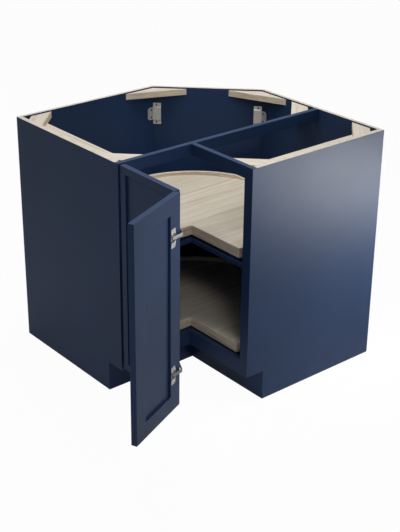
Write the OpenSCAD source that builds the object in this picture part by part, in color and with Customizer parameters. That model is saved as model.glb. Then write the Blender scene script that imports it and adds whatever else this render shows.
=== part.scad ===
// Corner base cabinet with two turning trays and a bi-fold door.
// Origin: inner corner of the toe kick, on the floor. The two arms run to -X and -Y,
// the kitchen walls stand at the +X and +Y sides, and +Z is up.

/* [Cabinet] */
// Width of each front, from the corner between the fronts to the end panel's outer face
front_w = 304.8; // [280:0.1:340]
// Depth of each arm, from the wall to the front of the face frame
arm_depth = 609.6; // [600:0.1:640]
// Height from the floor to the top of the rim
height = 876.3; // [860:0.1:940]
// Length that the diagonal back takes off each wall
back_cut = 304.8; // [260:0.1:330]
// Height of the toe kick
toe_height = 112; // [90:0.5:125]
// Depth of the toe kick behind the face frame
toe_depth = 76.2; // [60:0.1:90]

/* [Boards] */
// Thickness of the end panels
side_t = 19; // [16:0.5:22]
// Thickness of the three back panels
back_t = 12.7; // [9:0.1:16]
// Thickness of the face frame's stiles and rails
frame_t = 19; // [16:0.5:22]
// Thickness of the toe boards
toe_t = 12.7; // [9:0.1:16]
// Thickness of the bottom panel
bottom_t = 16; // [12:0.5:19]
// Thickness of the middle shelf
shelf_t = 16; // [12:0.5:19]
// Height of the middle shelf's upper face
shelf_top = 518; // [480:1:560]
// Depth of the bottom panel's upper face below the bottom rails' tops
bottom_drop = 10; // [4:0.5:16]

/* [Face frame] */
// Width of the stiles
stile_w = 38.1; // [30:0.1:45]
// Height of the top rails
top_rail_h = 41.3; // [34:0.1:50]
// Height of the bottom rails
bottom_rail_h = 55; // [45:0.5:60]

/* [Top bracing] */
// Depth of the gussets below the rim
gusset_drop = 5.8; // [3:0.1:10]
// Thickness of the gussets
gusset_t = 23; // [16:0.5:26]
// Length of the gussets' sides in the square corners
gusset_leg = 120; // [90:1:125]
// Length clipped off the gussets' inner corners
gusset_clip = 35; // [20:1:45]
// Gap between the gussets along each wall's back panel
gusset_gap = 31.5; // [20:0.5:60]
// Width of the top cleats
top_cleat_w = 72.5; // [50:0.5:80]
// Thickness of the top cleats
top_cleat_t = 19; // [16:0.5:22]
// Width of the strips that carry the bottom panel and the shelf
cleat_w = 19; // [16:0.5:25]
// Height of the strips that carry the bottom panel and the shelf
cleat_h = 38; // [25:1:45]

/* [Corner brackets] */
// Width of a bracket's plate on the diagonal back
bracket_w = 31; // [26:0.5:36]
// Width of a bracket's wing on the wall's back panel
wing_w = 26; // [20:0.5:30]
// Height of a bracket's plate
bracket_h = 85; // [75:1:100]
// Height of a bracket's wing
wing_h = 50; // [40:1:56]
// Distance of the brackets' middles below the rim
bracket_drop = 107.3; // [100:0.1:140]
// Thickness of the brackets' steel
bracket_t = 1.6; // [1:0.1:2]
// Height by which the plate's middle stands proud
bracket_joggle = 3; // [2:0.1:4]

/* [Doors] */
// Thickness of the doors
door_t = 20.6; // [19:0.1:22]
// Gap between a door's outer edge and the end panel's outer face
side_reveal = 2.5; // [1:0.1:4]
// Gap between the doors' tops and the rim
top_reveal = 3.3; // [2:0.1:8]
// Height of the doors' lower edges above the floor
door_bottom = 125; // [118:0.5:140]
// Gap between the closed doors' backs and the face frame
bumper_gap = 3.5; // [3:0.1:5]
// Gap between the two doors' front corners
joint_gap = 1.4; // [1:0.1:3]
// Length by which the doors' joint ends are longer at the back
joint_bevel = 3; // [0:0.1:4]
// Width of the doors' stiles and rails, seen on their backs
member_w = 57.2; // [56.5:0.1:64]
// Width of the full-thickness border on the doors' fronts
border_w = 26; // [20:0.5:32]
// Depth of the field behind the doors' fronts
front_step = 7.5; // [5:0.1:9]
// Depth of the field behind the doors' backs
back_step = 8; // [5:0.1:9]
// Angle by which door one stands open
door_open = 90.7; // [80:0.1:100]
// Angle by which the doors are unfolded from their closed right angle
door_fold = 23.9; // [15:0.1:30]

/* [Door hinges] */
// Distance of door one's axis from its hinge edge
pivot_in = 9; // [7:0.1:11]
// Distance of door one's axis from its back face
pivot_back = 13; // [11:0.1:15]
// Distance of the lower hinges' middles above the doors' lower edges
low_hinge_in = 132; // [129:1:170]
// Distance of the upper hinges' middles below the doors' tops
high_hinge_in = 135; // [120:1:170]
// Diameter of the hinge cups
cup_d = 35; // [30:0.5:35]
// Depth of the hinge cups in the door
cup_depth = 11.5; // [11:0.1:13]
// Width of wood between the fold hinges' cups and door two's field
fold_cup_margin = 0.7; // [0.5:0.1:1]
// Distance of the frame hinges' cup centres from door one's hinge edge
frame_cup_in = 26; // [24:0.1:30]
// Width of a hinge arm
arm_w = 12; // [10:0.5:14]
// Thickness of a hinge arm
arm_t = 2.4; // [2:0.1:2.6]
// Height of a hinge's flange plate
flange_h = 63; // [56:1:63]
// Width of a hinge's flange plate
flange_w = 29; // [26:0.5:31]
// Thickness of the flanges and the mounting plates
plate_t = 1.5; // [1:0.1:1.8]

/* [Trays] */
// Diameter of the trays
tray_d = 711.2; // [660:0.1:714]
// Distance of the trays' axis from the face frame's front planes
axis_in = 118.2; // [116:0.1:122]
// Gap between the trays' notch edges and the face frame's back
notch_gap = 3.2; // [1:0.1:6]
// Height of the trays' notch edges
tray_h = 36; // [30:0.5:40]
// Thickness of the trays' boards
tray_board_t = 19; // [12:0.5:22]
// Thickness of the trays' rims and edge bands
rim_t = 12; // [8:0.5:15]
// Height of the raised rims above the trays
rim_rise = 14; // [6:0.5:16]
// Angle at which the raised rim starts on each side, from the tray's own X axis
rim_from = 12; // [5:1:30]
// Angle over which the raised rim slopes down at each end
rim_ramp = 11; // [8:0.5:15]
// Diameter of the blocks under the trays
block_d = 200; // [180:1:220]

/* [Swivel bearings] */
// Height of the bearings between the shelf and the tray
bearing_h = 13; // [12:0.1:16]
// Outer diameter of the bearings
bearing_d = 152; // [140:1:170]
// Diameter of the bearings' openings
bearing_bore = 88; // [80:1:96]
// Diameter of the ball circle
ball_circle = 110; // [106:1:118]
// Diameter of the balls
ball_d = 5; // [4:0.1:5.5]
// Number of balls in each bearing
ball_count = 24; // [12:1:30]

/* [Screws] */
// Diameter of the screws' shanks
screw_d = 3.6; // [3:0.1:4]
// Diameter of the screws' heads
screw_head = 7; // [6:0.1:7.5]
// Length of the screws' shanks
screw_l = 10; // [8:0.1:11]

/* [Hidden] */
$fn = 96;

// Clearance between moving pieces, and around a screw's shank
clear = 0.3;
screw_clear = 0.1;
// Length by which a cutting tool runs past the piece that it cuts
over = 1;

// Planes of the cabinet, the same for both arms
face = -toe_depth;
frame_back = face + frame_t;
outer = face - front_w;
inner_side = outer + side_t;
wall = face + arm_depth;
inner_wall = wall - back_t;
// Where a wall's back panel meets the diagonal, outside and inside
cut_out = wall - back_cut;
cut_in = cut_out - back_t * (sqrt(2) - 1);
// Heights
bottom_top = toe_height + bottom_rail_h - bottom_drop;
bottom_under = bottom_top - bottom_t;
shelf_under = shelf_top - shelf_t;
gusset_top = height - gusset_drop;
gusset_under = gusset_top - gusset_t;
bracket_z = height - bracket_drop;
// Length of the gussets' sides beside the diagonal back
rear_gusset_leg = cut_in - frame_back - gusset_leg - gusset_gap;
// Doors, closed
door_edge = outer + side_reveal;
door_back = face - bumper_gap;
door_front = door_back - door_t;
joint_edge = door_front - joint_gap / 2;
door_w = joint_edge - door_edge;
door_top = height - top_reveal;
door_h = door_top - door_bottom;
panel_t = door_t - front_step - back_step;
pivot_x = door_edge + pivot_in;
pivot_y = door_back - pivot_back;
hinge_heights = [door_bottom + low_hinge_in, door_top - high_hinge_in];
// Distance of the fold hinges' cup centres from door two's joint edge
fold_cup_in = member_w - cup_d / 2 - fold_cup_margin;
// Room that the fold hinges' arms need in their cups, beside them
pocket_w = arm_w + 2 * clear;
pocket_l = 30;
pocket_back = 15.5;
pocket_floor = 1;
flange_shift = 1.5;
// A fold hinge's arm starts in its cup, this far past the cup's centre
arm_foot = 7;
// It leaves the cup this far before the centre, and this high above door two's back
arm_dip = 8;
arm_dip_h = 3.4;
// It bends where the doors meet, this far along door two and behind it
arm_bend = 0.7;
arm_bend_h = 10.2;
// It levels out this far along door one and behind it, and ends this far along
arm_level = 12;
arm_high = 11.2;
arm_run = 35;
// Door one's plates, with two ears each beside the arm
ear_t = 1.5;
ear_h = 10;
ear_in = 4;
plate_w = 34;
plate_h = 50;
plate_in = 14;
// The frame hinges' plates stand on the stile's inner edge
mount_t = 3;
mount_h = 44;
mount_d = 16;
mount_x = outer + stile_w;
// The neck of a frame hinge curls round door one's axis, just outside the door's corner,
// and runs on to its plate in the gap between the closed door and the stile
neck_in = sqrt(pow(pivot_in, 2) + pow(pivot_back, 2)) + clear;
neck_out = neck_in + arm_t;
neck_from = 12;
neck_to = asin((pivot_back + (bumper_gap + arm_t) / 2) / neck_out);
strap_y = door_back + (bumper_gap - arm_t) / 2;
// Where the screws stand in a hinge's flange, from its middle
flange_screw = 24;
plate_screw = 19;
mount_screw = 17;
// Trays
axis_xy = face + axis_in;
notch = frame_back + notch_gap;
tray_r = tray_d / 2;
board_r = tray_r - rim_t;
// The bearings' plates and races
ring_t = 2;
race_w = 8;
race_gap = 0.1;
race_h = (bearing_h - ball_d) / 2 - race_gap;
base_screw_r = (bearing_d / 2 + ball_circle / 2 + race_w / 2) / 2;
base_screw_count = 4;

navy = [0.13, 0.17, 0.27];
pale_wood = [0.78, 0.71, 0.62];
tray_wood = [0.80, 0.74, 0.65];
zinc = [0.62, 0.63, 0.65];
nickel = [0.75, 0.75, 0.74];

// A piece of the left arm, mirrored across the corner's diagonal into the right arm
module swap() {
    mirror([1, -1, 0]) children();
}

// A box between two corners
module block(low, high) {
    translate(low) cube(high - low);
}

// A pan-head screw along +Z, its head standing on the plane z = 0
module screw() {
    head_h = 1.8;
    translate([0, 0, -screw_l]) cylinder(d = screw_d, h = screw_l + over / 2);
    intersection() {
        cylinder(d = screw_head, h = head_h);
        translate([0, 0, head_h - screw_head]) sphere(r = screw_head);
    }
}

// The hole that a screw needs, from above the plate down to its point
module screw_hole() {
    translate([0, 0, -screw_l - screw_clear])
        cylinder(d = screw_d + 2 * screw_clear, h = screw_l + 2 * over + screw_clear);
}

// ---- Carcass ----

module end_panel() {
    difference() {
        block([outer, frame_back, 0], [inner_side, wall, height]);
        block([outer - over, frame_back - over, -over], [inner_side + over, 0, toe_height]);
    }
}

// The wall's back panel, mitred where it meets the diagonal one
module back_panel() {
    linear_extrude(height)
        polygon([[inner_side, wall], [inner_side, inner_wall], [cut_in, inner_wall], [cut_out, wall]]);
}

module diagonal_panel() {
    linear_extrude(height)
        polygon([[cut_out, wall], [cut_in, inner_wall], [inner_wall, cut_in], [wall, cut_out]]);
}

// Plan of the bottom panel and the middle shelf
module floor_plan() {
    polygon([[inner_side, frame_back], [frame_back, frame_back], [frame_back, inner_side],
        [inner_wall, inner_side], [inner_wall, cut_in], [cut_in, inner_wall],
        [inner_side, inner_wall]]);
}

// The strips under a board: one along the end panel and one along the back of an arm
module arm_cleats(top) {
    front = max(frame_back, toe_t);
    block([inner_side, front, top - cleat_h], [inner_side + cleat_w, inner_wall, top]);
    block([inner_side + cleat_w, inner_wall - cleat_w, top - cleat_h], [cut_in, inner_wall, top]);
}

module top_cleat() {
    block([inner_side, frame_back, gusset_under - top_cleat_t],
        [inner_side + top_cleat_w, inner_wall, gusset_under]);
}

// A gusset in a square corner at the plan's origin, its sides along +X and +Y
module square_gusset() {
    translate([0, 0, gusset_under]) linear_extrude(gusset_t)
        polygon([[gusset_clip, 0], [gusset_leg, 0], [0, gusset_leg], [0, gusset_clip]]);
}

// A gusset between the wall's back panel and the diagonal one
module rear_gusset() {
    side = rear_gusset_leg / sqrt(2);
    translate([0, 0, gusset_under]) linear_extrude(gusset_t)
        polygon([[cut_in, inner_wall], [cut_in - rear_gusset_leg, inner_wall],
            [cut_in + side, inner_wall - side]]);
}

module left_end_panel() { color(navy) end_panel(); }
module right_end_panel() { color(navy) swap() end_panel(); }

module left_back_panel() {
    color(navy) difference() {
        back_panel();
        left_wing_screws() screw_hole();
    }
}
module right_back_panel() {
    color(navy) swap() difference() {
        back_panel();
        left_wing_screws() screw_hole();
    }
}
module diagonal_back_panel() {
    color(navy) difference() {
        diagonal_panel();
        left_plate_screws() screw_hole();
        swap() left_plate_screws() screw_hole();
    }
}

module stile() {
    block([outer, face, toe_height], [outer + stile_w, frame_back, height]);
}
module left_stile() {
    color(navy) difference() {
        stile();
        frame_plate_screw_places() screw_hole();
    }
}
module right_stile() { color(navy) swap() stile(); }

// The long top rail runs on past the corner, as a stretcher, to the right-hand back
module long_top_rail() {
    color(navy)
        block([outer + stile_w, face, height - top_rail_h], [inner_wall, frame_back, height]);
}
module right_top_rail() {
    color(navy)
        block([face, outer + stile_w, height - top_rail_h], [frame_back, face, height]);
}
module left_bottom_rail() {
    color(navy) block([outer + stile_w, face, toe_height],
        [frame_back, frame_back, toe_height + bottom_rail_h]);
}
module right_bottom_rail() {
    color(navy) block([face, outer + stile_w, toe_height],
        [frame_back, face, toe_height + bottom_rail_h]);
}
module left_toe_board() { color(navy) block([inner_side, 0, 0], [toe_t, toe_t, bottom_under]); }
module right_toe_board() { color(navy) block([0, inner_side, 0], [toe_t, 0, bottom_under]); }

module bottom_panel() {
    color(navy) difference() {
        translate([0, 0, bottom_under]) linear_extrude(bottom_t) floor_plan();
        base_screws(bottom_top) screw_hole();
    }
}
module middle_shelf() {
    color(navy) difference() {
        translate([0, 0, shelf_under]) linear_extrude(shelf_t) floor_plan();
        base_screws(shelf_top) screw_hole();
    }
}
module support_cleats() {
    color(pale_wood) for (top = [bottom_under, shelf_under]) {
        arm_cleats(top);
        swap() arm_cleats(top);
    }
}

module left_top_cleat() { color(pale_wood) top_cleat(); }
module right_top_cleat() { color(pale_wood) swap() top_cleat(); }

module left_front_gusset() {
    color(pale_wood) translate([inner_side, frame_back, 0]) square_gusset();
}
module left_rear_gusset() {
    color(pale_wood) translate([inner_side, inner_wall, 0]) mirror([0, 1, 0]) square_gusset();
}
module rear_left_gusset() { color(pale_wood) rear_gusset(); }
module rear_right_gusset() { color(pale_wood) swap() rear_gusset(); }
module rail_end_gusset() {
    color(pale_wood) translate([inner_wall, frame_back, 0]) mirror([1, 0, 0]) square_gusset();
}
module right_rear_gusset() {
    color(pale_wood) translate([inner_wall, inner_side, 0]) mirror([1, 0, 0]) square_gusset();
}
module right_front_gusset() {
    color(pale_wood) translate([frame_back, inner_side, 0]) square_gusset();
}

// ---- Corner brackets ----

// Moves a shape drawn in the plan of the diagonal's left end: +X runs from the inner
// corner along the diagonal, +Y into the cabinet, and +Z up from the bracket's middle
module on_diagonal() {
    translate([cut_in, inner_wall, bracket_z]) rotate([0, 0, -45]) mirror([0, 1, 0]) children();
}

// Where the screws of the left bracket stand, their heads towards the cabinet
module left_plate_screws() {
    tab_screw_in = 8;
    tab_screw_side = 13.5;
    tab = bracket_h / 2 - tab_screw_in;
    on_diagonal() for (z = [-tab, tab])
        translate([tab_screw_side, bracket_t, z]) rotate([-90, 0, 0]) children();
}
module left_wing_screws() {
    wing_screw_in = 10;
    for (z = [-wing_h / 2 + wing_screw_in, wing_h / 2 - wing_screw_in])
        translate([cut_in - wing_screw_in, inner_wall - bracket_t, bracket_z + z])
            rotate([90, 0, 0]) children();
}

module corner_bracket() {
    tab_h = 12;
    slope = 6;
    wing_clip = 7;
    joggle = bracket_h / 2 - tab_h - slope;
    difference() {
        union() {
            on_diagonal() rotate([90, 0, 90]) linear_extrude(bracket_w)
                polygon([[0, -bracket_h / 2], [bracket_t, -bracket_h / 2],
                    [bracket_t, -joggle - slope], [bracket_t + bracket_joggle, -joggle],
                    [bracket_t + bracket_joggle, joggle], [bracket_t, joggle + slope],
                    [bracket_t, bracket_h / 2], [0, bracket_h / 2],
                    [0, joggle + slope], [bracket_joggle, joggle],
                    [bracket_joggle, -joggle], [0, -joggle - slope]]);
            translate([cut_in, inner_wall, bracket_z]) rotate([90, 0, 0])
                linear_extrude(bracket_t)
                    polygon([[0, -wing_h / 2], [0, wing_h / 2],
                        [-wing_w + wing_clip, wing_h / 2], [-wing_w, wing_h / 2 - wing_clip],
                        [-wing_w, -wing_h / 2 + wing_clip], [-wing_w + wing_clip, -wing_h / 2]]);
        }
        left_plate_screws() screw_hole();
        left_wing_screws() screw_hole();
    }
}
module left_corner_bracket() { color(zinc) corner_bracket(); }
module right_corner_bracket() { color(zinc) swap() corner_bracket(); }
module left_bracket_screws() {
    left_plate_screws() screw();
    left_wing_screws() screw();
}
module bracket_screws() {
    color(zinc) {
        left_bracket_screws();
        swap() left_bracket_screws();
    }
}

// ---- Swivel bearings ----

module base_screws(z) {
    for (i = [0 : base_screw_count - 1])
        translate([axis_xy, axis_xy, z + ring_t]) rotate([0, 0, 45 + 360 * i / base_screw_count])
            translate([base_screw_r, 0, 0]) children();
}

// One pressed ring: a flat plate with a race for the balls, at the bottom of the bearing
module bearing_half() {
    rotate_extrude() {
        translate([bearing_bore / 2, 0]) square([(bearing_d - bearing_bore) / 2, ring_t]);
        translate([ball_circle / 2 - race_w / 2, 0]) square([race_w, race_h]);
    }
}
module bearing_base(z) {
    difference() {
        translate([axis_xy, axis_xy, z]) bearing_half();
        base_screws(z) screw_hole();
    }
}
module bearing_ring(z) {
    translate([axis_xy, axis_xy, z + bearing_h]) mirror([0, 0, 1]) bearing_half();
}
module ball_ring(z) {
    for (i = [0 : ball_count - 1])
        translate([axis_xy, axis_xy, z + bearing_h / 2]) rotate([0, 0, 360 * i / ball_count])
            translate([ball_circle / 2, 0, 0]) sphere(d = ball_d, $fn = 32);
}
module lower_bearing_base() { color(zinc) bearing_base(bottom_top); }
module upper_bearing_base() { color(zinc) bearing_base(shelf_top); }
module lower_bearing_ring() { color(zinc) bearing_ring(bottom_top); }
module upper_bearing_ring() { color(zinc) bearing_ring(shelf_top); }
module bearing_balls() {
    color(zinc) {
        ball_ring(bottom_top);
        ball_ring(shelf_top);
    }
}
module bearing_screws() {
    color(zinc) {
        base_screws(bottom_top) screw();
        base_screws(shelf_top) screw();
    }
}

// ---- Trays ----

// Plan of a pie-cut disc of the given radius, its notch edges moved in by inset
module pie_plan(radius, inset) {
    translate([axis_xy, axis_xy]) difference() {
        circle(r = radius, $fn = 180);
        translate([notch + inset - axis_xy - 2 * radius, notch + inset - axis_xy - 2 * radius])
            square(2 * radius);
    }
}

module tray_board(z) {
    color(tray_wood) translate([0, 0, z + tray_h - tray_board_t])
        linear_extrude(tray_board_t) pie_plan(board_r, rim_t);
}

// The band round the arc, raised at the back, with a slope down at each end of the raised part
module tray_rim(z) {
    low_y = tray_r * sin(rim_from);
    high_y = tray_r * sin(rim_from + rim_ramp);
    ramp_step = 1;
    color(tray_wood) difference() {
        translate([0, 0, z]) linear_extrude(tray_h + rim_rise) difference() {
            pie_plan(tray_r, 0);
            translate([axis_xy, axis_xy]) circle(r = board_r, $fn = 180);
        }
        translate([axis_xy - 2 * tray_r, axis_xy, z + tray_h]) rotate([90, 0, 90])
            linear_extrude(4 * tray_r)
                polygon([[-2 * tray_r, 0], [low_y, 0], [low_y, ramp_step], [high_y, rim_rise],
                    [high_y, 2 * rim_rise], [-2 * tray_r, 2 * rim_rise]]);
    }
}

// The bands on the two notch edges, between the ends of the rim
module tray_edge_bands(z) {
    color(tray_wood) translate([0, 0, z]) linear_extrude(tray_h) {
        intersection() {
            translate([axis_xy, axis_xy]) circle(r = board_r, $fn = 180);
            translate([notch - 2 * tray_r, notch]) square([2 * tray_r + rim_t, rim_t]);
        }
        intersection() {
            translate([axis_xy, axis_xy]) circle(r = board_r, $fn = 180);
            translate([notch, notch - 2 * tray_r]) square([rim_t, 2 * tray_r]);
        }
    }
}
module tray_block(z) {
    color(tray_wood) translate([axis_xy, axis_xy, z])
        cylinder(d = min(block_d, 2 * (axis_xy - notch - rim_t) * sqrt(2)), h = tray_h - tray_board_t);
}

lower_tray_z = bottom_top + bearing_h;
upper_tray_z = shelf_top + bearing_h;
module lower_tray_board() { tray_board(lower_tray_z); }
module lower_tray_rim() { tray_rim(lower_tray_z); }
module lower_tray_edge_bands() { tray_edge_bands(lower_tray_z); }
module lower_tray_block() { tray_block(lower_tray_z); }
module upper_tray_board() { tray_board(upper_tray_z); }
module upper_tray_rim() { tray_rim(upper_tray_z); }
module upper_tray_edge_bands() { tray_edge_bands(upper_tray_z); }
module upper_tray_block() { tray_block(upper_tray_z); }

// ---- Doors ----

// Turns closed door one, with what it carries, to where it stands open
module open_one() {
    translate([pivot_x, pivot_y, 0]) rotate([0, 0, -door_open])
        translate([-pivot_x, -pivot_y, 0]) children();
}
// Turns a piece about the fold's axis, by the given share of the fold, on open door one
module open_fold(share) {
    open_one() translate([door_front, door_front, 0]) rotate([0, 0, share * door_fold])
        translate([-door_front, -door_front, 0]) children();
}
// Door two is door one's mirror image when both are closed
module open_two() {
    open_fold(1) swap() children();
}

// The closed door's stile at its outer edge
module outer_stile() {
    difference() {
        block([door_edge, door_front, door_bottom], [door_edge + member_w, door_back, door_top]);
        field_cut();
    }
}
// The closed door's stile at the joint between the doors, with its bevelled end
module joint_stile() {
    difference() {
        translate([0, 0, door_bottom]) linear_extrude(door_h)
            polygon([[joint_edge - member_w, door_front], [joint_edge, door_front],
                [joint_edge + joint_bevel, door_back], [joint_edge - member_w, door_back]]);
        field_cut();
    }
}
module door_rail(low, high) {
    difference() {
        block([door_edge + member_w, door_front, low], [joint_edge - member_w, door_back, high]);
        field_cut();
    }
}
// What is cut from a door's front inside its border
module field_cut() {
    block([door_edge + border_w, door_front - over, door_bottom + border_w],
        [joint_edge - border_w, door_front + front_step, door_top - border_w]);
}
module top_rail() { door_rail(door_top - member_w, door_top); }
module bottom_rail() { door_rail(door_bottom, door_bottom + member_w); }
module field_panel() {
    block([door_edge + member_w, door_front + front_step, door_bottom + member_w],
        [joint_edge - member_w, door_back - back_step, door_top - member_w]);
}

// The round recess that a hinge cup sits in, with its centre a distance in from an edge
module cup_recess(x) {
    for (z = hinge_heights)
        translate([x, door_back + over, z]) rotate([90, 0, 0])
            cylinder(d = cup_d, h = cup_depth + over);
}

module door_one_hinge_stile() {
    color(navy) open_one() difference() {
        outer_stile();
        cup_recess(door_edge + frame_cup_in);
        frame_cup_screws() screw_hole();
    }
}
module door_one_joint_stile() {
    color(navy) open_one() difference() {
        joint_stile();
        fold_plate_screws() screw_hole();
    }
}
module door_one_top_rail() { color(navy) open_one() top_rail(); }
module door_one_bottom_rail() { color(navy) open_one() bottom_rail(); }
module door_one_panel() { color(navy) open_one() field_panel(); }
module door_two_joint_stile() {
    color(navy) open_two() difference() {
        joint_stile();
        cup_recess(joint_edge - fold_cup_in);
        fold_cup_screws() screw_hole();
    }
}
module door_two_free_stile() { color(navy) open_two() outer_stile(); }
module door_two_top_rail() { color(navy) open_two() top_rail(); }
module door_two_bottom_rail() { color(navy) open_two() bottom_rail(); }
module door_two_panel() { color(navy) open_two() field_panel(); }

// ---- Hinges between door one and the face frame ----

module frame_plate_screw_places() {
    for (z = hinge_heights) for (side = [-1, 1])
        translate([mount_x + mount_t, face + frame_t / 2, z + side * mount_screw])
            rotate([0, 90, 0]) children();
}
// A plate on the stile's inner edge, with the strap and the neck that carry the door
module frame_hinge_plates() {
    color(nickel) difference() {
        for (z = hinge_heights) {
            block([mount_x, face + (frame_t - mount_d) / 2, z - mount_h / 2],
                [mount_x + mount_t, face + (frame_t + mount_d) / 2, z + mount_h / 2]);
            block([mount_x, strap_y, z - arm_w / 2],
                [mount_x + mount_t, face + frame_t / 2, z + arm_w / 2]);
            block([pivot_x + neck_out * cos(neck_to), strap_y, z - arm_w / 2],
                [mount_x + mount_t, strap_y + arm_t, z + arm_w / 2]);
            translate([pivot_x, pivot_y, z - arm_w / 2]) rotate([0, 0, neck_from])
                rotate_extrude(angle = neck_to - neck_from)
                    translate([neck_in, 0]) square([arm_t, arm_w]);
        }
        frame_plate_screw_places() screw_hole();
    }
}
module frame_plate_screws() { color(nickel) frame_plate_screw_places() screw(); }

module frame_cup_screws() {
    for (z = hinge_heights) for (side = [-1, 1])
        translate([door_edge + frame_cup_in, door_back + plate_t, z + side * flange_screw])
            rotate([-90, 0, 0]) children();
}
// A cup with its flange, open where the neck lies while the door is shut
module frame_hinge_cups() {
    middle = door_edge + frame_cup_in;
    room = 2 * clear;
    color(nickel) open_one() difference() {
        union() {
            cup_recess_fill(middle);
            flanges(middle);
        }
        for (z = hinge_heights) {
            block([pivot_x + sqrt(pow(neck_in, 2) - pow(pivot_back, 2)) - room,
                    pivot_y + neck_in * sin(neck_from) - room, z - pocket_w / 2],
                [pivot_x + neck_out + room, door_back + plate_t + over, z + pocket_w / 2]);
            block([middle - flange_w / 2 - over, door_back, z - pocket_w / 2],
                [middle + flange_w / 2 + over, door_back + plate_t + over, z + pocket_w / 2]);
        }
        frame_cup_screws() screw_hole();
    }
}
module cup_recess_fill(x) {
    for (z = hinge_heights)
        translate([x, door_back, z]) rotate([90, 0, 0]) cylinder(d = cup_d, h = cup_depth);
}
module flanges(x) {
    for (z = hinge_heights)
        block([x - flange_w / 2, door_back, z - flange_h / 2],
            [x + flange_w / 2, door_back + plate_t, z + flange_h / 2]);
}

// ---- Hinges between the two doors ----

// Where door one's plates stand on its back, beside the joint
module fold_plate_screws() {
    for (z = hinge_heights) for (side = [-1, 1])
        translate([joint_edge - plate_in - plate_w / 2, door_back + plate_t,
            z + side * plate_screw]) rotate([-90, 0, 0]) children();
}
module fold_hinge_plates() {
    low_x = joint_edge - plate_in - plate_w;
    color(nickel) open_one() difference() {
        for (z = hinge_heights) {
            block([low_x, door_back, z - plate_h / 2],
                [low_x + plate_w, door_back + plate_t, z + plate_h / 2]);
            for (side = [-1, 1]) {
                middle = z + side * (arm_w / 2 + clear + ear_t / 2);
                block([low_x + ear_in, door_back, middle - ear_t / 2],
                    [low_x + plate_w - ear_in, door_back + ear_h + arm_t, middle + ear_t / 2]);
            }
        }
        fold_plate_screws() screw_hole();
    }
}

// Direction of a point on the fold's arm, from distances along and behind a door
function beside_one(along, behind) = [door_front - along, door_front + behind];
function turn(p, a) = [door_front + (p[0] - door_front) * cos(a) - (p[1] - door_front) * sin(a),
    door_front + (p[0] - door_front) * sin(a) + (p[1] - door_front) * cos(a)];
// The arm lies in the half-folded plan: each door is turned back by half of the fold
function on_one(along, behind) = turn(beside_one(along, door_t + behind), -door_fold / 2);
function on_two(along, behind) = let (p = beside_one(along, door_t + behind))
    turn([p[1], p[0]], door_fold / 2);

// A line of points, moved sideways by a distance, with mitred corners
function left_of(a, b) = [a[1] - b[1], b[0] - a[0]] / norm(b - a);
function beside(p, d) = let (last = len(p) - 1) [for (i = [0 : last]) let (
    before = left_of(p[max(i, 1) - 1], p[max(i, 1)]),
    after = left_of(p[min(i, last - 1)], p[min(i, last - 1) + 1]),
    m = before + after) p[i] + m * 2 * d / (m * m)];

module fold_hinge_arms() {
    middle = [on_two(fold_cup_in + arm_foot, 0), on_two(fold_cup_in - arm_dip, arm_dip_h),
        on_two(arm_bend, arm_bend_h), on_one(arm_level, arm_high), on_one(arm_run, arm_high)];
    back = beside(middle, -arm_t / 2);
    color(nickel) open_fold(0.5) for (z = hinge_heights)
        translate([0, 0, z - arm_w / 2]) linear_extrude(arm_w)
            polygon(concat(beside(middle, arm_t / 2), [for (i = [len(back) - 1 : -1 : 0]) back[i]]));
}

module fold_cup_screws() {
    for (z = hinge_heights) for (side = [-1, 1])
        translate([joint_edge - fold_cup_in - flange_shift, door_back + plate_t, z + side * flange_screw])
            rotate([-90, 0, 0]) children();
}
module fold_hinge_cups() {
    middle = joint_edge - fold_cup_in;
    color(nickel) open_two() difference() {
        union() {
            cup_recess_fill(middle);
            flanges(middle - flange_shift);
        }
        for (z = hinge_heights)
            block([middle - pocket_back, door_back - cup_depth + pocket_floor, z - pocket_w / 2],
                [middle - pocket_back + pocket_l, door_back + plate_t + over, z + pocket_w / 2]);
        fold_cup_screws() screw_hole();
    }
}
module door_one_screws() {
    color(nickel) open_one() {
        frame_cup_screws() screw();
        fold_plate_screws() screw();
    }
}
module door_two_screws() { color(nickel) open_two() fold_cup_screws() screw(); }

left_end_panel();
right_end_panel();
left_back_panel();
diagonal_back_panel();
right_back_panel();
left_stile();
right_stile();
long_top_rail();
right_top_rail();
left_bottom_rail();
right_bottom_rail();
left_toe_board();
right_toe_board();
bottom_panel();
middle_shelf();
support_cleats();
left_top_cleat();
right_top_cleat();
left_front_gusset();
left_rear_gusset();
rear_left_gusset();
rear_right_gusset();
rail_end_gusset();
right_rear_gusset();
right_front_gusset();
left_corner_bracket();
right_corner_bracket();
bracket_screws();
frame_hinge_plates();
frame_plate_screws();
upper_bearing_base();
lower_bearing_base();
bearing_balls();
bearing_screws();
door_one_hinge_stile();
door_one_joint_stile();
door_one_top_rail();
door_one_bottom_rail();
door_one_panel();
frame_hinge_cups();
fold_hinge_plates();
door_one_screws();
fold_hinge_arms();
door_two_joint_stile();
door_two_free_stile();
door_two_top_rail();
door_two_bottom_rail();
door_two_panel();
fold_hinge_cups();
door_two_screws();
upper_tray_board();
upper_tray_rim();
upper_tray_edge_bands();
upper_tray_block();
upper_bearing_ring();
lower_tray_board();
lower_tray_rim();
lower_tray_edge_bands();
lower_tray_block();
lower_bearing_ring();
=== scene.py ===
from math import pi, radians

import bmesh
import bpy
from mathutils import Matrix, Vector
from mathutils.bvhtree import BVHTree


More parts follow.
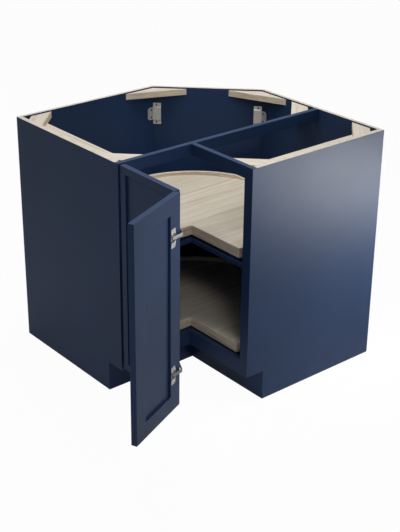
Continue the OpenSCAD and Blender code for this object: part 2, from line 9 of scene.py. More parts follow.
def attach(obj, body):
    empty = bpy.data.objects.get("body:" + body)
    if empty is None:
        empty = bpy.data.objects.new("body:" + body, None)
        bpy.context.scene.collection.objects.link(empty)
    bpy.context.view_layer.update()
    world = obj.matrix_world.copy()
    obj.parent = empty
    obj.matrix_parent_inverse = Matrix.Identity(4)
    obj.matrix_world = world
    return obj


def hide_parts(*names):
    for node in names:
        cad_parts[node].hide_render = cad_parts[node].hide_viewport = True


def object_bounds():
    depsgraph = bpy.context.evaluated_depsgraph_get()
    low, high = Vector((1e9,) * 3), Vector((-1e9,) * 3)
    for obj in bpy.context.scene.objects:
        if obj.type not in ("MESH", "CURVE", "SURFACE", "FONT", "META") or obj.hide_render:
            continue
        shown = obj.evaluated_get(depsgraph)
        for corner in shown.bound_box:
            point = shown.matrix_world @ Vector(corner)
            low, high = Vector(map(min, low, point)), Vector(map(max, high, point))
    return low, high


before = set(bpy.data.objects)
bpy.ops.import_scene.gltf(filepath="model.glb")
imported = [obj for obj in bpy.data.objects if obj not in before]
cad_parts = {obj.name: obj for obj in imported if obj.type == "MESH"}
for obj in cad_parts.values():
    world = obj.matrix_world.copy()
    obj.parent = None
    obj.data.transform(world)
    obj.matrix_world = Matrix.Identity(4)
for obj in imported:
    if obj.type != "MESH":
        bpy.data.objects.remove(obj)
cad_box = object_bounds()

# ---- End panels ----
# The two end panels are cut from 19 mm board. Their faces are painted navy, and the sawn top
# edge is left bare, so a thin pale line of wood runs round the rim. The corners are eased.
PAINT_EASE = 0.0007
COPLANAR = radians(0.4)
CURVED = radians(25)
RIM_HEIGHT = cad_box[1][2]
RIM_SLACK = 0.0005
LEVEL_Z, UPRIGHT_Z = 0.9, 0.1
NAVY_DEEP, NAVY_LIGHT = (0.0165, 0.0355, 0.0870), (0.0195, 0.0412, 0.1010)
BARE_DEEP, BARE_LIGHT = (0.51, 0.44, 0.36), (0.63, 0.565, 0.485)
WELD = 0.00001


def new_material(name):
    material = bpy.data.materials.new(name)
    material.use_nodes = True
    shader = material.node_tree.nodes["Principled BSDF"]
    return material, material.node_tree.nodes, material.node_tree.links, shader


def object_coords(nodes, links, sizes=(1, 1, 1), turn=0.0, start=(0, 0, 0)):
    """The piece's own coordinates, counted in pattern sizes along axes turned about Z."""
    coords = nodes.new("ShaderNodeTexCoord")
    mapping = nodes.new("ShaderNodeMapping")
    mapping.vector_type = "TEXTURE"
    mapping.inputs["Location"].default_value = start
    mapping.inputs["Rotation"].default_value = (0, 0, turn)
    mapping.inputs["Scale"].default_value = sizes
    links.new(coords.outputs["Object"], mapping.inputs["Vector"])
    return mapping.outputs["Vector"]


def noise(nodes, links, vector, scale, detail=3.0, roughness=0.5, distortion=0.0):
    texture = nodes.new("ShaderNodeTexNoise")
    texture.inputs["Scale"].default_value = scale
    texture.inputs["Detail"].default_value = detail
    texture.inputs["Roughness"].default_value = roughness
    texture.inputs["Distortion"].default_value = distortion
    links.new(vector, texture.inputs["Vector"])
    return texture.outputs["Fac"]


def ramp(nodes, links, value, stops):
    """A colour ramp through (position, linear colour) stops."""
    node = nodes.new("ShaderNodeValToRGB")
    elements = node.color_ramp.elements
    while len(elements) < len(stops):
        elements.new(0.5)
    for element, (position, colour) in zip(elements, stops):
        element.position = position
        element.color = (*colour, 1)
    links.new(value, node.inputs["Fac"])
    return node.outputs["Color"]


def spread(nodes, links, value, low, high, from_low=0.3, from_high=0.7):
    """A pattern's value, spread to a range for roughness or height."""
    node = nodes.new("ShaderNodeMapRange")
    node.inputs["From Min"].default_value = from_low
    node.inputs["From Max"].default_value = from_high
    node.inputs["To Min"].default_value = low
    node.inputs["To Max"].default_value = high
    links.new(value, node.inputs["Value"])
    return node.outputs["Result"]


def bump(nodes, links, height, shader, strength, distance):
    node = nodes.new("ShaderNodeBump")
    node.inputs["Strength"].default_value = strength
    node.inputs["Distance"].default_value = distance
    links.new(height, node.inputs["Height"])
    links.new(node.outputs["Normal"], shader.inputs["Normal"])


def navy_paint():
    """Sprayed satin paint: a faint mottle in colour and gloss, and a fine orange peel."""
    material, nodes, links, shader = new_material("navy_satin_paint")
    coords = object_coords(nodes, links)
    mottle = noise(nodes, links, coords, 5.0, detail=4)
    colour = ramp(nodes, links, mottle, [(0.25, NAVY_DEEP), (0.75, NAVY_LIGHT)])
    links.new(colour, shader.inputs["Base Color"])
    satin = spread(nodes, links, noise(nodes, links, coords, 22.0), 0.385, 0.40)
    links.new(satin, shader.inputs["Roughness"])
    shader.inputs["Specular IOR Level"].default_value = 0.15
    bump(nodes, links, noise(nodes, links, coords, 900.0, detail=2), shader, 0.08, 0.0003)
    return material


def bare_edge():
    """The sawn edge of a board, left bare: pale wood, faintly blotched."""
    material, nodes, links, shader = new_material("bare_board_edge")
    coords = object_coords(nodes, links)
    blotch = noise(nodes, links, coords, 60.0, detail=4)
    colour = ramp(nodes, links, blotch, [(0.3, BARE_DEEP), (0.7, BARE_LIGHT)])
    links.new(colour, shader.inputs["Base Color"])
    shader.inputs["Roughness"].default_value = 0.8
    shader.inputs["Specular IOR Level"].default_value = 0.2
    bump(nodes, links, noise(nodes, links, coords, 700.0), shader, 0.3, 0.0005)
    return material


PAINT = navy_paint()
BARE = bare_edge()


def is_rim(face):
    """True for a face that is the top edge of the cabinet's rim."""
    return face.normal.z > LEVEL_Z and face.calc_center_median().z > RIM_HEIGHT - RIM_SLACK


# A slanting way that no board's face follows, and the step that carries a ray past a face
RAY_WAY = Vector((0.31, 0.53, 0.79))
RAY_STEP = 0.00001


def inside(tree, point):
    """True where a point lies in the solid that a tree of faces closes."""
    hits = 0
    while True:
        place, _, _, _ = tree.ray_cast(point, RAY_WAY)
        if place is None:
            return hits % 2 == 1
        hits += 1
        point = place + RAY_WAY * RAY_STEP


SOLIDS = {}
for name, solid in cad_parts.items():
    corners = [v.co for v in solid.data.vertices]
    SOLIDS[name] = (BVHTree.FromPolygons(corners, [p.vertices[:] for p in solid.data.polygons]),
                    [min(c[i] for c in corners) for i in range(3)],
                    [max(c[i] for c in corners) for i in range(3)])
LOOK_BESIDE = 0.0003
BOX_SLACK = 0.001


def meets_another(node, edge):
    """True for a corner that lies against another solid, whose face carries this one on."""
    first, second = (face.normal for face in edge.link_faces)
    middle = (edge.verts[0].co + edge.verts[1].co) / 2
    for out, back in ((first, second), (second, first)):
        point = middle + (out - back) * LOOK_BESIDE
        for name, (tree, low, high) in SOLIDS.items():
            near = all(low[i] - BOX_SLACK < point[i] < high[i] + BOX_SLACK for i in range(3))
            if near and name != node and inside(tree, point):
                return True
    return False


def finished(node, body, materials, ease=PAINT_EASE, second=None, splits=()):
    """The node's shape with its loose triangles joined and its free corners eased, as a new
    piece. A corner that another board carries on stays sharp, so that their faces run on.

    Faces that second() picks take the second material. Splits are the heights at which a
    long corner stops being free."""
    mesh = bpy.data.meshes.new(node + "_finished")
    work = bmesh.new()
    work.from_mesh(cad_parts[node].data)
    bmesh.ops.remove_doubles(work, verts=work.verts, dist=WELD)
    bmesh.ops.dissolve_limit(work, angle_limit=COPLANAR, verts=work.verts, edges=work.edges)
    for height in splits:
        bmesh.ops.bisect_plane(work, geom=work.verts[:] + work.edges[:] + work.faces[:],
                               plane_co=(0, 0, height), plane_no=(0, 0, 1))
    for face in work.faces:
        bends = [e.calc_face_angle(0) for e in face.edges]
        face.smooth = any(2 * COPLANAR < bend < CURVED for bend in bends)
        face.material_index = 1 if second and second(face) else 0
    corners = [e for e in work.edges if e.is_manifold and e.calc_face_angle(0) > CURVED
               and not meets_another(node, e)]
    if ease:
        eased = bmesh.ops.bevel(work, geom=corners, offset=ease, offset_type="OFFSET", segments=2,
                                profile=0.5, affect="EDGES", material=-1, clamp_overlap=True)
        for face in eased["faces"]:
            face.smooth = True
    work.to_mesh(mesh)
    work.free()
    placed(mesh, node, body, materials)


def placed(mesh, node, body, materials):
    """Shows a mesh in place of a CAD node, on the body that the node belongs to."""
    for material in materials:
        mesh.materials.append(material)
    piece = bpy.data.objects.new(node + "_finished", mesh)
    bpy.context.scene.collection.objects.link(piece)
    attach(piece, body)
    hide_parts(node)


for panel in ("left_end_panel", "right_end_panel"):
    finished(panel, "cabinet", [PAINT, BARE], second=is_rim)

# ---- Back panels ----
# Three thinner boards close the back: one along each kitchen wall and one across the corner.
# Their joints are mitred, and like the ends they are painted with a bare top edge.
for panel in ("left_back_panel", "diagonal_back_panel", "right_back_panel"):
    finished(panel, "cabinet", [PAINT, BARE], second=is_rim)

# ---- Toe boards, face frame and shelf ----
# The toe boards stand back under the front, the face frame is glued to the ends, and the
# bottom and the middle shelf are L-shaped boards. All are painted on every side.
for board in ("left_toe_board", "right_toe_board", "long_top_rail", "right_top_rail",
              "left_bottom_rail", "right_bottom_rail", "bottom_panel", "middle_shelf"):
    finished(board, "cabinet", [PAINT])
FRAME_SPLITS = (SOLIDS["long_top_rail"][1][2], SOLIDS["left_bottom_rail"][2][2])
for stile in ("left_stile", "right_stile"):
    finished(stile, "cabinet", [PAINT], splits=FRAME_SPLITS)

# ---- Cleats and gussets ----
# Unpainted plywood strips and corner blocks brace the open top and carry the worktop's
# screws. Each is sawn from board with a fine straight grain and a layered edge.


def bracing_wood(name, grain):
    """Planed pale wood, unfinished, its grain at an angle about Z from the X axis."""
    material, nodes, links, shader = new_material(name)
    broad = object_coords(nodes, links, sizes=(0.45, 0.018, 0.012), turn=grain)
    fine = object_coords(nodes, links, sizes=(0.12, 0.0025, 0.0025), turn=grain)
    bands = noise(nodes, links, broad, 1.0, detail=4, roughness=0.55, distortion=0.3)
    lines = noise(nodes, links, fine, 1.0, detail=3, roughness=0.6)
    colour = ramp(nodes, links, bands, [(0.28, (0.47, 0.395, 0.305)), (0.46, (0.575, 0.51, 0.43)),
                                        (0.72, (0.62, 0.565, 0.49))])
    shade = ramp(nodes, links, lines, [(0.32, (0.80, 0.76, 0.70)), (0.52, (1, 1, 1))])
    links.new(darkened(nodes, links, colour, shade, 0.6), shader.inputs["Base Color"])
    shader.inputs["Roughness"].default_value = 0.7
    shader.inputs["Specular IOR Level"].default_value = 0.2
    bump(nodes, links, lines, shader, 0.25, 0.0004)
    return material


def darkened(nodes, links, colour, shade, share):
    """A colour multiplied by a shade, by a share of its strength."""
    mix = nodes.new("ShaderNodeMix")
    mix.data_type = "RGBA"
    mix.blend_type = "MULTIPLY"
    mix.inputs["Factor"].default_value = share
    links.new(colour, mix.inputs["A"])
    links.new(shade, mix.inputs["B"])
    return mix.outputs["Result"]


def edge_wood(name, start, tones):
    """The long edge of sawn or veneered wood, its grain level all the way round the piece."""
    material, nodes, links, shader = new_material(name)
    broad = object_coords(nodes, links, sizes=(0.14, 0.14, 0.0075), start=start)
    fine = object_coords(nodes, links, sizes=(0.035, 0.035, 0.0016), start=start)
    bands = noise(nodes, links, broad, 1.0, detail=4, roughness=0.6, distortion=0.3)
    lines = noise(nodes, links, fine, 1.0, detail=3, roughness=0.6)
    streaks = ramp(nodes, links, bands, list(zip((0.30, 0.50, 0.72), tones)))
    pores = ramp(nodes, links, lines, [(0.33, (0.70, 0.64, 0.58)), (0.52, (1, 1, 1))])
    links.new(darkened(nodes, links, streaks, pores, 0.8), shader.inputs["Base Color"])
    links.new(spread(nodes, links, lines, 0.62, 0.52), shader.inputs["Roughness"])
    shader.inputs["Specular IOR Level"].default_value = 0.25
    bump(nodes, links, lines, shader, 0.25, 0.0004)
    return material


def is_upright(face):
    """True for a face that stands upright, as a gusset's sawn edges do."""
    return abs(face.normal.z) < UPRIGHT_Z


SAWN_TONES = ((0.53, 0.425, 0.31), (0.66, 0.56, 0.43), (0.73, 0.645, 0.52))
GRAIN = {"left_top_cleat": 90, "right_top_cleat": 0, "left_front_gusset": 135,
         "left_rear_gusset": 45, "rear_left_gusset": -22.5, "rear_right_gusset": 112.5,
         "rail_end_gusset": 45, "right_rear_gusset": 45, "right_front_gusset": 135,
         "support_cleats": 0}
for order, (block, degrees) in enumerate(GRAIN.items()):
    wood = bracing_wood(block + "_wood", radians(degrees))
    edge = edge_wood(block + "_edge", (order, 2.0 * order, 0.7 * order), SAWN_TONES)
    finished(block, "cabinet", [wood, edge], ease=0.0005, second=is_upright)

# ---- Corner brackets ----
# Two zinc-plated steel brackets, pressed from sheet with a raised middle, tie the diagonal
# back to the wall backs. Each is held by four pan-head screws of dark steel, with a cross
# recess pressed into the head.


def plated(name, colour, roughness, mottle_scale=160.0, metallic=1.0):
    """Plated steel: bright, with a faint clouding of the plate."""
    material, nodes, links, shader = new_material(name)
    coords = object_coords(nodes, links)
    cloud = noise(nodes, links, coords, mottle_scale, detail=4)
    tone = ramp(nodes, links, cloud, [(0.3, [c * 0.82 for c in colour]), (0.7, colour)])
    links.new(tone, shader.inputs["Base Color"])
    shader.inputs["Metallic"].default_value = metallic
    links.new(spread(nodes, links, cloud, roughness, roughness + 0.12), shader.inputs["Roughness"])
    return material


ZINC = plated("zinc_plate", (0.84, 0.83, 0.80), 0.42, metallic=0.75)
DARK_STEEL = plated("dark_screw_steel", (0.11, 0.10, 0.095), 0.35)
for steel in ("left_corner_bracket", "right_corner_bracket"):
    finished(steel, "cabinet", [ZINC], ease=0.0004)

HEAD_R, HEAD_H, SHANK_R, SHANK_L = 0.0035, 0.0018, 0.0018, 0.010
CROSS_R, CROSS_DEEP, CROSS_TAPER = 0.0017, 0.0011, 0.75
CROWN_R = HEAD_R * 0.72
# The screw's radius at each depth under the crown of its head, down to its blunt end
SCREW_PROFILE = ((HEAD_R * 0.93, 0.0004), (HEAD_R, 0.0011), (HEAD_R, HEAD_H), (SHANK_R, HEAD_H),
                 (SHANK_R, HEAD_H + SHANK_L - 0.001), (SHANK_R * 0.6, HEAD_H + SHANK_L))


def turned(work, edges, profile):
    """Carries a ring of edges on through rings of each (radius, depth), and closes the last."""
    for radius, depth in profile:
        ring = bmesh.ops.extrude_edge_only(work, edges=edges)["geom"]
        verts = [g for g in ring if isinstance(g, bmesh.types.BMVert)]
        edges = [g for g in ring if isinstance(g, bmesh.types.BMEdge)]
        now = verts[0].co.xy.length
        bmesh.ops.scale(work, verts=verts, vec=(radius / now, radius / now, 1))
        bmesh.ops.translate(work, verts=verts, vec=(0, 0, -depth - verts[0].co.z))
    bmesh.ops.contextual_create(work, geom=edges)


def add_screw(work, place):
    """A pan-head screw along +Z, its head's seat at z = 0, moved by the place's matrix."""
    start = set(work.verts)
    grid = bmesh.ops.create_grid(work, x_segments=3, y_segments=3, size=CROSS_R)["verts"]
    faces = list({f for v in grid for f in v.link_faces})
    corners = [f for f in faces if min(abs(c) for c in f.calc_center_median().xy) > CROSS_R / 3]
    bmesh.ops.delete(work, geom=corners, context="FACES")
    cross = [f for f in faces if f.is_valid]
    edge_loop = [e for f in cross for e in f.edges if e.is_boundary]
    sunk = bmesh.ops.extrude_face_region(work, geom=cross)["geom"]
    bmesh.ops.delete(work, geom=cross, context="FACES_ONLY")
    sunk_verts = [g for g in sunk if isinstance(g, bmesh.types.BMVert)]
    bmesh.ops.translate(work, verts=sunk_verts, vec=(0, 0, -CROSS_DEEP))
    bmesh.ops.scale(work, verts=sunk_verts, vec=(CROSS_TAPER, CROSS_TAPER, 1))
    rim = bmesh.ops.create_circle(work, segments=24, radius=CROWN_R)["verts"]
    rim_edges = list({e for v in rim for e in v.link_edges})
    top_edges = [e for e in edge_loop if e.is_valid and len(e.link_faces) == 1]
    bmesh.ops.bridge_loops(work, edges=rim_edges + top_edges)
    turned(work, [e for e in rim_edges if e.is_valid], SCREW_PROFILE)
    new = [v for v in work.verts if v not in start]
    bmesh.ops.translate(work, verts=new, vec=(0, 0, HEAD_H))
    bmesh.ops.transform(work, matrix=place, verts=new)


def screws(node, body, material, places):
    """Cross-recess screws in place of a CAD node's plain ones."""
    mesh = bpy.data.meshes.new(node + "_finished")
    work = bmesh.new()
    for place in places:
        add_screw(work, place)
    bmesh.ops.recalc_face_normals(work, faces=work.faces)
    for face in work.faces:
        face.smooth = True
    for edge in work.edges:
        edge.smooth = edge.calc_face_angle(0) < CURVED
    work.to_mesh(mesh)
    work.free()
    placed(mesh, node, body, [material])


def facing(place, way, turn=0.0):
    """The matrix that stands a screw at a place, its head towards a direction."""
    return (Matrix.Translation(Vector(place)) @ Vector(way).to_track_quat("Z", "Y").to_matrix().to_4x4()
            @ Matrix.Rotation(radians(turn), 4, "Z"))


# The two kitchen walls' sides are mirror images of each other across this plane.
SWAP = Matrix(((0, 1, 0, 0), (1, 0, 0, 0), (0, 0, 1, 0), (0, 0, 0, 1)))
BRACKET_CORNER = Vector((0.22334, 0.5207, 0.769))
BRACKET_T = 0.0016
ALONG_DIAGONAL, OFF_DIAGONAL = Vector((1, -1, 0)).normalized(), Vector((-1, -1, 0)).normalized()
# How far from the corner each wing's screws stand, and their heights and the crosses' turns
DIAGONAL_REACH, DIAGONAL_SCREWS = 0.0135, ((-0.0345, 20), (0.0345, 65))
WALL_REACH, WALL_SCREWS = 0.010, ((-0.015, 35), (0.015, 5))
on_diagonal = BRACKET_CORNER + ALONG_DIAGONAL * DIAGONAL_REACH + OFF_DIAGONAL * BRACKET_T
left_places = [facing(on_diagonal + Vector((0, 0, z)), OFF_DIAGONAL, turn)
               for z, turn in DIAGONAL_SCREWS]
left_places += [facing(BRACKET_CORNER + Vector((-WALL_REACH, -BRACKET_T, z)), (0, -1, 0), turn)
                for z, turn in WALL_SCREWS]
screws("bracket_screws", "cabinet", DARK_STEEL,
       left_places + [SWAP @ place for place in left_places])

# ---- Swivel bearings ----
# Under each tray two pressed rings run on a circle of steel balls. The lower ring is screwed
# to the board below it, and the upper ring to the tray.
for steel in ("upper_bearing_base", "lower_bearing_base", "bearing_screws"):
    finished(steel, "cabinet", [ZINC], ease=0.0003)
finished("bearing_balls", "cabinet", [ZINC], ease=0)
finished("upper_bearing_ring", "upper_tray", [ZINC], ease=0.0003)
finished("lower_bearing_ring", "lower_tray", [ZINC], ease=0.0003)

# ---- Trays ----
# Each tray is a pie-cut wooden board with a bent band glued round its arc, raised at the
# back, and straight bands on its two notch edges. The clear coat is matt. The board's grain
# runs across the cabinet, and the bands' grain runs along them.


def tray_wood(name, start):
    """Straight-grained pale wood: soft bands, fine lines and open pores along X."""
    material, nodes, links, shader = new_material(name)
    broad = object_coords(nodes, links, sizes=(0.50, 0.017, 0.015), start=start)
    fine = object_coords(nodes, links, sizes=(0.16, 0.0032, 0.0032), start=start)
    bands = noise(nodes, links, broad, 1.0, detail=5, roughness=0.55, distortion=0.35)
    lines = noise(nodes, links, fine, 1.0, detail=3, roughness=0.6)
    streaks = ramp(nodes, links, bands, [(0.26, (0.500, 0.415, 0.315)), (0.42, (0.560, 0.490, 0.390)),
                                         (0.56, (0.600, 0.540, 0.445)), (0.74, (0.650, 0.600, 0.505))])
    pores = ramp(nodes, links, lines, [(0.33, (0.78, 0.72, 0.66)), (0.50, (1, 1, 1))])
    links.new(darkened(nodes, links, streaks, pores, 0.65), shader.inputs["Base Color"])
    links.new(spread(nodes, links, lines, 0.62, 0.52), shader.inputs["Roughness"])
    shader.inputs["Specular IOR Level"].default_value = 0.25
    bump(nodes, links, lines, shader, 0.2, 0.0004)
    return material


def is_level(face):
    """True for a face that lies level, as a tray's upper and lower faces do."""
    return abs(face.normal.z) > LEVEL_Z


BAND_TONES = ((0.48, 0.365, 0.255), (0.64, 0.525, 0.405), (0.72, 0.625, 0.505))
for level, start in (("upper", (0.3, 2.0, 0.7)), ("lower", (5.1, 7.3, 3.9))):
    wood = tray_wood(level + "_tray_wood", start)
    edging = edge_wood(level + "_tray_edging", start, BAND_TONES)
    for part in ("board", "block"):
        finished(f"{level}_tray_{part}", level + "_tray", [wood], ease=0.0006)
    for part in ("rim", "edge_bands"):
        finished(f"{level}_tray_{part}", level + "_tray", [edging, wood],
                 ease=0.0009, second=is_level)

# ---- Doors ----
# Both doors are framed: two stiles and two rails round a thin field panel that lies back
# from the front and from the back. They are painted all over after assembly.
DOOR_EASE = 0.0009
DOOR_SPLITS = (SOLIDS["door_one_top_rail"][1][2], SOLIDS["door_one_bottom_rail"][2][2])
for body, ends in (("door_one", ("hinge", "joint")), ("door_two", ("joint", "free"))):
    for stile in ends:
        finished(f"{body}_{stile}_stile", body, [PAINT], ease=DOOR_EASE,
                 splits=DOOR_SPLITS)
    for member in ("top_rail", "bottom_rail", "panel"):
        finished(f"{body}_{member}", body, [PAINT], ease=DOOR_EASE)

# ---- Door hinges ----
# Concealed hinges, pressed from nickel-plated steel sheet: each has a round cup let into the
# door, with a flange that two screws hold. Two carry door one on the left-hand stile, and
# two with bent arms join door two to door one.
NICKEL = plated("nickel_plate", (0.58, 0.57, 0.55), 0.34, mottle_scale=220.0)
# The arms are the same nickel plate as the cups, given a darker colour: painted shade that dims the
# lamps' reflection in them.
SHADED_ARM_NICKEL = plated("arm_nickel_painted_shade", (0.27, 0.265, 0.255), 0.46, mottle_scale=220.0)
CUP_R, CUP_OPEN_R, CUP_DEEP, CUP_SHEET = 0.0172, 0.0158, 0.0104, 0.001
CUP_PROFILE = ((CUP_OPEN_R, 0.0), (CUP_OPEN_R, CUP_DEEP - 0.0025),
               (CUP_OPEN_R - 0.0008, CUP_DEEP - 0.0007), (CUP_OPEN_R - 0.0027, CUP_DEEP))
EAR_FROM, EAR_NECK, EAR_END = 0.0118, 0.019, 0.0315
EAR_HEEL, EAR_TOE, EAR_FLARE = -0.016, 0.009, 0.0015
FLANGE_T, SLOT_HALF, SLOT_ABOVE = 0.0015, 0.0063, 0.0001
CUP_EASE, CUP_CORNER = 0.00025, radians(60)
HINGE_HEIGHTS = (0.257, 0.738)
DOOR_BACK, DOOR_FRONT = -0.0797, -0.1003
DOOR_ONE_CUP, DOOR_TWO_CUP = -0.3525, -0.1400
PIVOT = Vector((-0.3695, -0.0927, 0))
FOLD = Vector((DOOR_FRONT, DOOR_FRONT, 0))
DOOR_OPEN, DOOR_UNFOLD = radians(-90.7), radians(23.9)
OPEN_ONE = (Matrix.Translation(PIVOT) @ Matrix.Rotation(DOOR_OPEN, 4, "Z")
            @ Matrix.Translation(-PIVOT))
OPEN_TWO = (OPEN_ONE @ Matrix.Translation(FOLD) @ Matrix.Rotation(DOOR_UNFOLD, 4, "Z")
            @ Matrix.Translation(-FOLD) @ SWAP)
# Turns the plan that a cup is drawn in, with its opening up, to stand in a door's back
STAND = Matrix(((1, 0, 0, 0), (0, 0, 1, 0), (0, 1, 0, 0), (0, 0, 0, 1)))


def add_cup(work, place, slots):
    """A pressed cup with its flange, drawn in plan: the toe of the flange to +X, its ears to
    both sides along Y, and the cup's opening up. A slot leaves each named side open."""
    start = set(work.verts)
    opening = bmesh.ops.create_circle(work, segments=48, radius=CUP_OPEN_R)["verts"]
    outline = bmesh.ops.create_circle(work, segments=48, radius=CUP_R)["verts"]
    opening_edges = list({e for v in opening for e in v.link_edges})
    outline_edges = list({e for v in outline for e in v.link_edges})
    bmesh.ops.bridge_loops(work, edges=opening_edges + outline_edges)
    for side in (-1, 1):
        ear = [e for e in outline_edges if all(v.co.y * side > EAR_FROM for v in e.verts)]
        for reach, toe in ((EAR_NECK, EAR_TOE + EAR_FLARE), (EAR_END, EAR_TOE)):
            grown = bmesh.ops.extrude_edge_only(work, edges=ear)["geom"]
            ear = [g for g in grown if isinstance(g, bmesh.types.BMEdge)]
            verts = [g for g in grown if isinstance(g, bmesh.types.BMVert)]
            low, high = min(v.co.x for v in verts), max(v.co.x for v in verts)
            wide = (toe - EAR_HEEL) / (high - low)
            moved = Matrix.Translation((EAR_HEEL - low * wide, side * reach, 0))
            flat = Matrix.Diagonal((wide, 0, 1, 1))
            bmesh.ops.transform(work, matrix=moved @ flat, verts=verts)
    bmesh.ops.translate(work, verts=[v for v in work.verts if v not in start], vec=(0, 0, FLANGE_T))
    turned(work, opening_edges, CUP_PROFILE)
    mine = [f for f in work.faces if f.verts[0] not in start]
    for side in slots:
        cut = [f for f in mine if f.calc_center_median().z > SLOT_ABOVE
               and abs(f.calc_center_median().y) < SLOT_HALF and f.calc_center_median().x * side > 0]
        bmesh.ops.delete(work, geom=cut, context="FACES")
        mine = [f for f in mine if f.is_valid]
    bmesh.ops.recalc_face_normals(work, faces=mine)
    bmesh.ops.solidify(work, geom=mine, thickness=CUP_SHEET)
    new = [v for v in work.verts if v not in start]
    bmesh.ops.transform(work, matrix=place @ STAND, verts=new)


def cups(node, body, places, slots):
    """Pressed hinge cups in place of a CAD node's plainer ones."""
    mesh = bpy.data.meshes.new(node + "_finished")
    work = bmesh.new()
    for place in places:
        add_cup(work, place, slots)
    bmesh.ops.recalc_face_normals(work, faces=work.faces)
    edge_loop = [e for e in work.edges if e.is_manifold and e.calc_face_angle(0) > CUP_CORNER]
    bmesh.ops.bevel(work, geom=edge_loop, offset=CUP_EASE, offset_type="OFFSET", segments=1,
                    profile=0.5, affect="EDGES", material=-1, clamp_overlap=True)
    for face in work.faces:
        face.smooth = True
    for edge in work.edges:
        edge.smooth = edge.calc_face_angle(0) < CURVED
    work.to_mesh(mesh)
    work.free()
    placed(mesh, node, body, [NICKEL])


FLIP = Matrix.Diagonal((-1, 1, 1, 1))
cups("frame_hinge_cups", "door_one",
     [OPEN_ONE @ Matrix.Translation((DOOR_ONE_CUP, DOOR_BACK, z)) @ FLIP for z in HINGE_HEIGHTS], (-1, 1))
cups("fold_hinge_cups", "door_two",
     [OPEN_TWO @ Matrix.Translation((DOOR_TWO_CUP, DOOR_BACK, z)) for z in HINGE_HEIGHTS], (1,))
for steel, body in (("frame_hinge_plates", "cabinet"), ("fold_hinge_plates", "door_one")):
    finished(steel, body, [NICKEL], ease=0.0004)
finished("fold_hinge_arms", "fold_arms", [SHADED_ARM_NICKEL], ease=0.0004)
# Screws on the doors' backs: how far along the door, and how far above and below the cup
FOLD_PLATE_X, FLANGE_SHIFT = -0.132, 0.0015
CUP_SCREW_REACH, PLATE_SCREW_REACH = 0.024, 0.019
SCREW_TURNS = (10, 55, 80, 30)
back_screws = {}
for name, x, reach in (("frame_cup", DOOR_ONE_CUP, CUP_SCREW_REACH),
                       ("fold_plate", FOLD_PLATE_X, PLATE_SCREW_REACH),
                       ("fold_cup", DOOR_TWO_CUP - FLANGE_SHIFT, CUP_SCREW_REACH)):
    seats = [(x, DOOR_BACK + FLANGE_T, z + side * reach) for z in HINGE_HEIGHTS for side in (-1, 1)]
    back_screws[name] = [facing(seat, (0, 1, 0), turn) for seat, turn in zip(seats, SCREW_TURNS)]
screws("door_one_screws", "door_one", NICKEL,
       [OPEN_ONE @ place for place in back_screws["frame_cup"] + back_screws["fold_plate"]])
screws("door_two_screws", "door_two", NICKEL,
       [OPEN_TWO @ place for place in back_screws["fold_cup"]])
STILE_X, STILE_Y, STILE_SCREW_REACH, STILE_SCREW_TURN = -0.3399, -0.0667, 0.017, 25
screws("frame_plate_screws", "cabinet", NICKEL,
       [facing((STILE_X, STILE_Y, z + side * STILE_SCREW_REACH), (1, 0, 0), STILE_SCREW_TURN * side)
        for z in HINGE_HEIGHTS for side in (-1, 1)])

# ---- Floor, light and camera ----
# A plain pale floor in a pale surround, under six softboxes: a broad one overhead, a weak key
# in front, a low one and a higher one beside the right-hand end, and two narrow beams, which
# fill the front and the inside of the backs.
FLOOR_HALF, FLOOR_DROP = 30.0, 0.0003
FLOOR_GLOW = 0.97
GLOSS_SHARE = 0.3
SURROUND_TINT, SURROUND_STRENGTH = (0.88, 0.95, 1.0, 1), 0.28
floor_mesh = bpy.data.meshes.new("floor")
plane = bmesh.new()
bmesh.ops.create_grid(plane, x_segments=1, y_segments=1, size=FLOOR_HALF)
plane.to_mesh(floor_mesh)
plane.free()
floor = bpy.data.objects.new("floor", floor_mesh)
floor.location = (0, 0, cad_box[0][2] - FLOOR_DROP)
bpy.context.scene.collection.objects.link(floor)


def seen_as(nodes, links):
    """1 for rays from the camera and through glass, less for those off metal and paint, whose
    gloss would turn pale in a studio that is white all round, and 0 for the light's."""
    path = nodes.new("ShaderNodeLightPath")
    gloss = nodes.new("ShaderNodeMath")
    gloss.operation = "MULTIPLY"
    gloss.inputs[1].default_value = GLOSS_SHARE
    links.new(path.outputs["Is Glossy Ray"], gloss.inputs[0])
    either = nodes.new("ShaderNodeMath")
    either.operation = "MAXIMUM"
    links.new(path.outputs["Is Camera Ray"], either.inputs[0])
    links.new(gloss.outputs["Value"], either.inputs[1])
    all_three = nodes.new("ShaderNodeMath")
    all_three.operation = "MAXIMUM"
    links.new(either.outputs["Value"], all_three.inputs[0])
    links.new(path.outputs["Is Transmission Ray"], all_three.inputs[1])
    return all_three.outputs["Value"]


material, nodes, links, shader = new_material("pale_floor")
shader.inputs["Base Color"].default_value = (0.7, 0.7, 0.7, 1)
shader.inputs["Roughness"].default_value = 0.9
glow = nodes.new("ShaderNodeEmission")
glow.inputs["Color"].default_value = (1, 1, 1, 1)
share = nodes.new("ShaderNodeMath")
share.operation = "MULTIPLY"
share.inputs[1].default_value = FLOOR_GLOW
blend = nodes.new("ShaderNodeMixShader")
links.new(seen_as(nodes, links), share.inputs[0])
links.new(share.outputs["Value"], blend.inputs["Fac"])
links.new(shader.outputs["BSDF"], blend.inputs[1])
links.new(glow.outputs["Emission"], blend.inputs[2])
links.new(blend.outputs["Shader"], nodes["Material Output"].inputs["Surface"])
floor_mesh.materials.append(material)

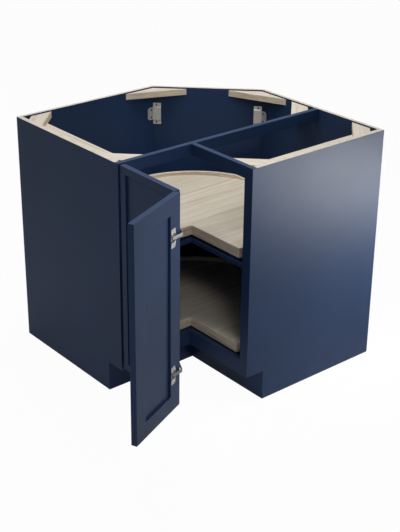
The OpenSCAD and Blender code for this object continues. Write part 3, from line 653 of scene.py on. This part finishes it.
world = bpy.data.worlds.new("studio")
world.use_nodes = True
nodes, links = world.node_tree.nodes, world.node_tree.links
surround = nodes["Background"]
surround.inputs["Color"].default_value = SURROUND_TINT
surround.inputs["Strength"].default_value = SURROUND_STRENGTH
white = nodes.new("ShaderNodeBackground")
white.inputs["Color"].default_value = (1, 1, 1, 1)
white.inputs["Strength"].default_value = 1.0
blend = nodes.new("ShaderNodeMixShader")
links.new(seen_as(nodes, links), blend.inputs["Fac"])
links.new(surround.outputs["Background"], blend.inputs[1])
links.new(white.outputs["Background"], blend.inputs[2])
links.new(blend.outputs["Shader"], nodes["World Output"].inputs["Surface"])
bpy.context.scene.world = world


def softbox(name, place, aim, size, watts, beam=180):
    """A rectangular lamp turned towards a point; a narrow beam, in degrees, gathers its light."""
    lamp = bpy.data.lights.new(name, "AREA")
    lamp.shape = "RECTANGLE"
    lamp.size, lamp.size_y = size
    lamp.energy = watts
    lamp.spread = radians(beam)
    light = bpy.data.objects.new(name, lamp)
    light.location = place
    light.rotation_euler = (Vector(aim) - Vector(place)).to_track_quat("-Z", "Y").to_euler()
    light.visible_camera = False
    bpy.context.scene.collection.objects.link(light)


softbox("overhead", (0.1, 0.2, 2.6), (0.1, 0.2, 0.5), (1.0, 1.0), 32)
softbox("key", (0.35, -1.3, 1.5), (-0.3, -0.6, 0.95), (0.5, 0.5), 0.8, 50)
softbox("low_side", (1.36, -1.42, 0.24), (0.42, -0.38, 0.68), (0.7, 0.32), 2.15, 50)
softbox("right_fill", (1.6, -0.75, 1.3), (0.5, -0.38, 0.2), (0.4, 0.4), 2.2, 36)
softbox("front", (-1.1, -1.9, 2.1), (-0.05, -0.05, 0.3), (0.9, 0.9), 0.36, 18)
softbox("rear_fill", (-0.2, -2.2, 2.6), (0.35, 0.45, 0.8), (0.6, 0.6), 0.4, 22)

# The camera stands where the photograph was taken from; the small shift is the photograph's
# off-centre framing, and the sizes are those of its 400 by 532 frame.
PHOTO_W, PHOTO_H = 400, 532
FOCAL_PX = 1164.4
CENTRE_PX = (171.8, 249.8)
SENSOR = 36.0
AZIMUTH, ELEVATION = radians(51.414 - 90), radians(-24.839)
CAMERA_PLACE = (-2.4180, -2.9059, 2.1866)
camera_data = bpy.data.cameras.new("camera")
camera_data.sensor_fit = "VERTICAL"
camera_data.sensor_height = SENSOR
camera_data.lens = FOCAL_PX / PHOTO_H * SENSOR
camera_data.shift_x = (PHOTO_W / 2 - CENTRE_PX[0]) / PHOTO_H
camera_data.shift_y = (CENTRE_PX[1] - PHOTO_H / 2) / PHOTO_H
camera_data.clip_end = 100
camera = bpy.data.objects.new("camera", camera_data)
camera.location = CAMERA_PLACE
camera.rotation_euler = (pi / 2 + ELEVATION, 0, AZIMUTH)
bpy.context.scene.collection.objects.link(camera)
bpy.context.scene.camera = camera
bpy.context.scene.view_settings.view_transform = "Standard"
